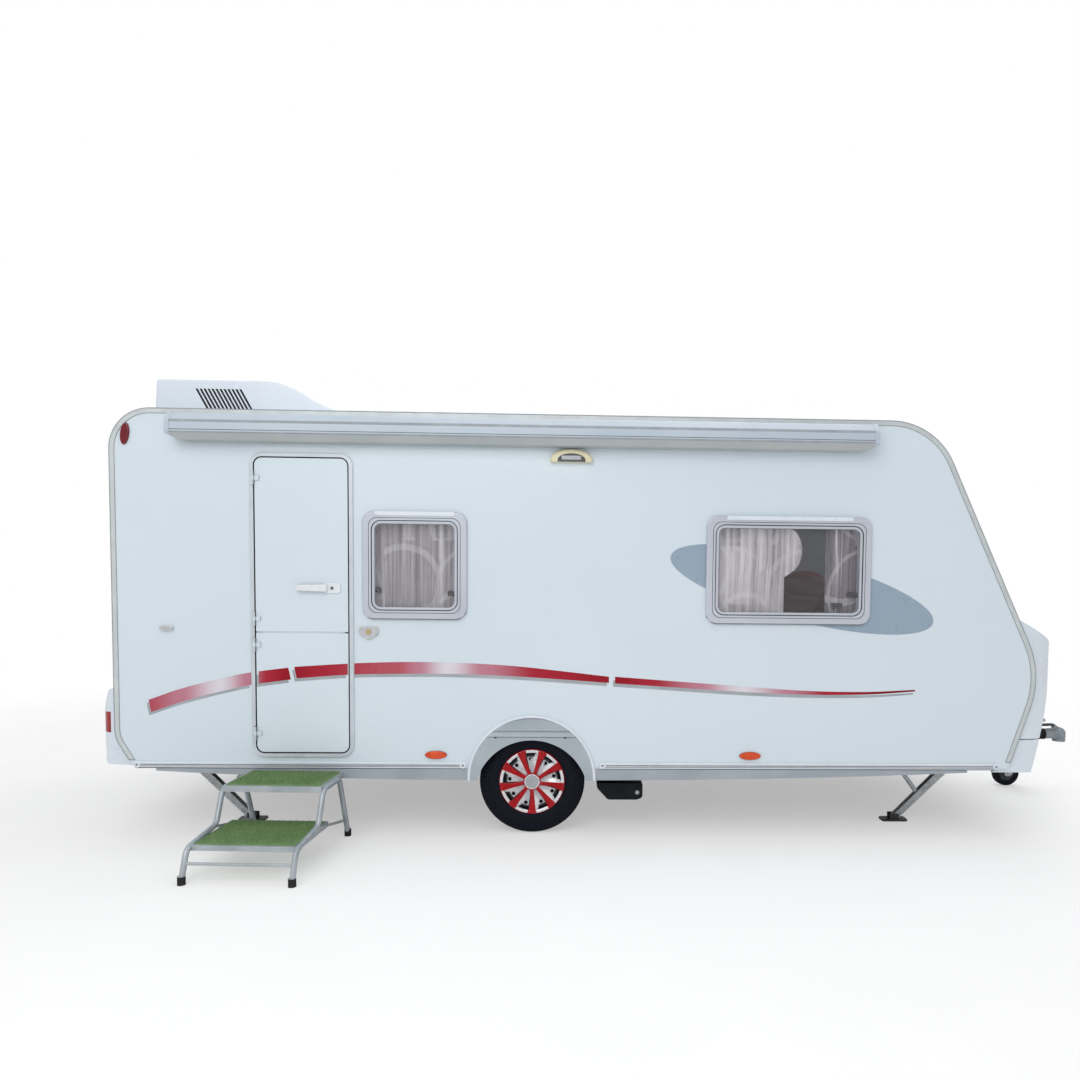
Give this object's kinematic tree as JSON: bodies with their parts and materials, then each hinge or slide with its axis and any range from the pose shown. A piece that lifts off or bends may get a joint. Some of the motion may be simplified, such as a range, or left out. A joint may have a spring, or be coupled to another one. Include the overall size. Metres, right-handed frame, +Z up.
{
  "type": "travel caravan",
  "caption": "Single-axle touring caravan on its jockey wheel and corner steadies, with a split entrance door, cassette awning, roof air conditioner and a free-standing step.",
  "frame": {"origin": "point on the ground under the middle of the axle, between the two wheels", "axes": "+X forward to the drawbar, +Y to the left side, +Z up; the entrance door faces -Y"},
  "size_m": [6.6396, 3.1772, 2.773],
  "materials": {
    "body_white": "gloss",
    "moulding_white": "gloss",
    "floor_board": "matt",
    "trim_grey": "satin",
    "rail_aluminium": "satin",
    "skirt_grey": "satin",
    "lamp_red": "gloss",
    "frame_grey": "satin",
    "tinted_glass": "gloss",
    "net_curtain": "sheer net",
    "chromed_plastic": "gloss",
    "handle_white": "gloss",
    "awning_white": "satin",
    "light_beige": "satin",
    "vent_grey": "satin",
    "rooflight_plastic": "gloss",
    "galvanised_steel": "spangled",
    "cast_grey": "satin",
    "black_plastic": "satin",
    "black_rubber": "matt",
    "black_tyre": "matt",
    "rim_steel": "satin",
    "trim_silver": "metallic",
    "furniture_wood": "satin",
    "seat_fabric": "woven",
    "step_grey": "satin",
    "turf_green": "turf pile"
  },
  "bodies": {
    "chassis": {"air_conditioner": "moulding_white", "awning_case": "awning_white", "awning_light": "light_beige", "axle_beam": "galvanised_steel", "chassis_rails": "galvanised_steel", "coupling_head": "cast_grey", "curtains": "net_curtain", "door_frame": "rail_aluminium", "drawbar": "galvanised_steel", "edge_trims": "trim_grey", "floor_panel": "floor_board", "front_panel": "body_white", "front_valance": "moulding_white", "furniture": "furniture_wood", "gas_locker_box": "floor_board", "jockey_clamp": "galvanised_steel", "lamps": "lamp_red", "mover_units": "black_plastic", "rear_bumper": "moulding_white", "rear_panel": "body_white", "roof_panel": "body_white", "roof_vent": "vent_grey", "rooflight_frame": "moulding_white", "seat_cushions": "seat_fabric", "side_rails": "rail_aluminium", "side_skirts": "skirt_grey", "side_vents": "vent_grey", "side_wall_left": "body_white", "side_wall_right": "body_white", "wall_fittings": "chromed_plastic", "wheel_arch_covers": "skirt_grey", "window_frames": "frame_grey", "window_panes": "tinted_glass"},
    "upper_door": {"upper_door": "body_white", "door_handle": "handle_white"},
    "lower_door": {"lower_door": "body_white"},
    "gas_locker_lid": {"gas_locker_lid": "moulding_white"},
    "rooflight_lid": {"rooflight_lid": "rooflight_plastic"},
    "service_hatch": {"service_hatch": "moulding_white"},
    "handbrake_lever": {"handbrake_lever": "galvanised_steel"},
    "jockey_leg": {"jockey_leg": "galvanised_steel"},
    "jockey_fork": {"jockey_fork": "galvanised_steel"},
    "jockey_wheel": {"jockey_wheel": "black_rubber"},
    "wheel_right": {"tyre_right": "black_tyre", "rim_right": "rim_steel", "trim_right": "trim_silver"},
    "wheel_left": {"tyre_left": "black_tyre", "rim_left": "rim_steel", "trim_left": "trim_silver"},
    "step": {"step_frame": "step_grey", "step_treads": "turf_green"},
    "steady_leg_rear_right": {"steady_leg_rear_right": "galvanised_steel"},
    "steady_strut_rear_right": {"steady_strut_rear_right": "galvanised_steel"},
    "steady_leg_rear_left": {"steady_leg_rear_left": "galvanised_steel"},
    "steady_strut_rear_left": {"steady_strut_rear_left": "galvanised_steel"},
    "steady_leg_front_right": {"steady_leg_front_right": "galvanised_steel"},
    "steady_strut_front_right": {"steady_strut_front_right": "galvanised_steel"},
    "steady_leg_front_left": {"steady_leg_front_left": "galvanised_steel"},
    "steady_strut_front_left": {"steady_strut_front_left": "galvanised_steel"}
  },
  "joints": [
    {"name": "wheel_right_spin", "type": "hinge", "parent": "chassis", "child": "wheel_right", "pos_m": [0, -1.012, 0.325], "axis": [0, 1, 0], "continuous": true},
    {"name": "wheel_left_spin", "type": "hinge", "parent": "chassis", "child": "wheel_left", "pos_m": [0, 1.012, 0.325], "axis": [0, 1, 0], "continuous": true},
    {"name": "upper_door_hinge", "type": "hinge", "parent": "chassis", "child": "upper_door", "pos_m": [-1.655, -1.169, 2.154], "axis": [0, 0, -1], "range_deg": [0, 170]},
    {"name": "lower_door_hinge", "type": "hinge", "parent": "chassis", "child": "lower_door", "pos_m": [-1.655, -1.169, 1.164], "axis": [0, 0, -1], "range_deg": [0, 170]},
    {"name": "gas_locker_lid_hinge", "type": "hinge", "parent": "chassis", "child": "gas_locker_lid", "pos_m": [2.9937, 0, 1.361], "axis": [0, -1, 0], "range_deg": [0, 70]},
    {"name": "rooflight_hinge", "type": "hinge", "parent": "chassis", "child": "rooflight_lid", "pos_m": [0.316, 0.1, 2.5843], "axis": [0, -1, 0], "range_deg": [0, 60]},
    {"name": "service_hatch_hinge", "type": "hinge", "parent": "chassis", "child": "service_hatch", "pos_m": [-1.5, 1.164, 0.99], "axis": [1, 0, 0], "range_deg": [0, 100]},
    {"name": "handbrake_hinge", "type": "hinge", "parent": "chassis", "child": "handbrake_lever", "pos_m": [3.51, -0.092, 0.501], "axis": [0, -1, 0], "range_deg": [0, 65]},
    {"name": "jockey_height", "type": "slide", "parent": "chassis", "child": "jockey_leg", "axis": [0, 0, 1], "range_m": [0, 0.1]},
    {"name": "jockey_swivel", "type": "hinge", "parent": "jockey_leg", "child": "jockey_fork", "pos_m": [3.70013, 0.1531, 0.226], "axis": [0, 0, 1], "continuous": true},
    {"name": "jockey_wheel_spin", "type": "hinge", "parent": "jockey_fork", "child": "jockey_wheel", "pos_m": [3.65413, 0.1531, 0.1], "axis": [0, 1, 0], "continuous": true},
    {"name": "steady_leg_rear_right_hinge", "type": "hinge", "parent": "chassis", "child": "steady_leg_rear_right", "pos_m": [-2.15, -0.8, 0.345], "axis": [0, -1, 0], "range_deg": [0, 44.39]},
    {"name": "steady_strut_rear_right_hinge", "type": "hinge", "parent": "steady_leg_rear_right", "child": "steady_strut_rear_right", "pos_m": [-1.97849, -0.8, 0.17712], "axis": [0, 1, 0], "range_deg": [0, 98.71]},
    {"name": "steady_leg_rear_left_hinge", "type": "hinge", "parent": "chassis", "child": "steady_leg_rear_left", "pos_m": [-2.15, 0.8, 0.345], "axis": [0, -1, 0], "range_deg": [0, 44.39]},
    {"name": "steady_strut_rear_left_hinge", "type": "hinge", "parent": "steady_leg_rear_left", "child": "steady_strut_rear_left", "pos_m": [-1.97849, 0.8, 0.17712], "axis": [0, 1, 0], "range_deg": [0, 98.71]},
    {"name": "steady_leg_front_right_hinge", "type": "hinge", "parent": "chassis", "child": "steady_leg_front_right", "pos_m": [2.715, -0.8, 0.345], "axis": [0, 1, 0], "range_deg": [0, 44.39]},
    {"name": "steady_strut_front_right_hinge", "type": "hinge", "parent": "steady_leg_front_right", "child": "steady_strut_front_right", "pos_m": [2.54348, -0.8, 0.17712], "axis": [0, -1, 0], "range_deg": [0, 98.71]},
    {"name": "steady_leg_front_left_hinge", "type": "hinge", "parent": "chassis", "child": "steady_leg_front_left", "pos_m": [2.715, 0.8, 0.345], "axis": [0, 1, 0], "range_deg": [0, 44.39]},
    {"name": "steady_strut_front_left_hinge", "type": "hinge", "parent": "steady_leg_front_left", "child": "steady_strut_front_left", "pos_m": [2.54348, 0.8, 0.17712], "axis": [0, -1, 0], "range_deg": [0, 98.71]},
    {"name": "step_slide", "type": "slide", "parent": "chassis", "child": "step", "axis": [0, -1, 0], "range_m": [0, 0.25]}
  ],
  "couplings": [
    {"joint": "steady_strut_rear_right_hinge", "follows": "steady_leg_rear_right_hinge", "ratio": 2.2124},
    {"joint": "steady_strut_rear_left_hinge", "follows": "steady_leg_rear_left_hinge", "ratio": 2.2124},
    {"joint": "steady_strut_front_right_hinge", "follows": "steady_leg_front_right_hinge", "ratio": 2.2124},
    {"joint": "steady_strut_front_left_hinge", "follows": "steady_leg_front_left_hinge", "ratio": 2.2124}
  ]
}
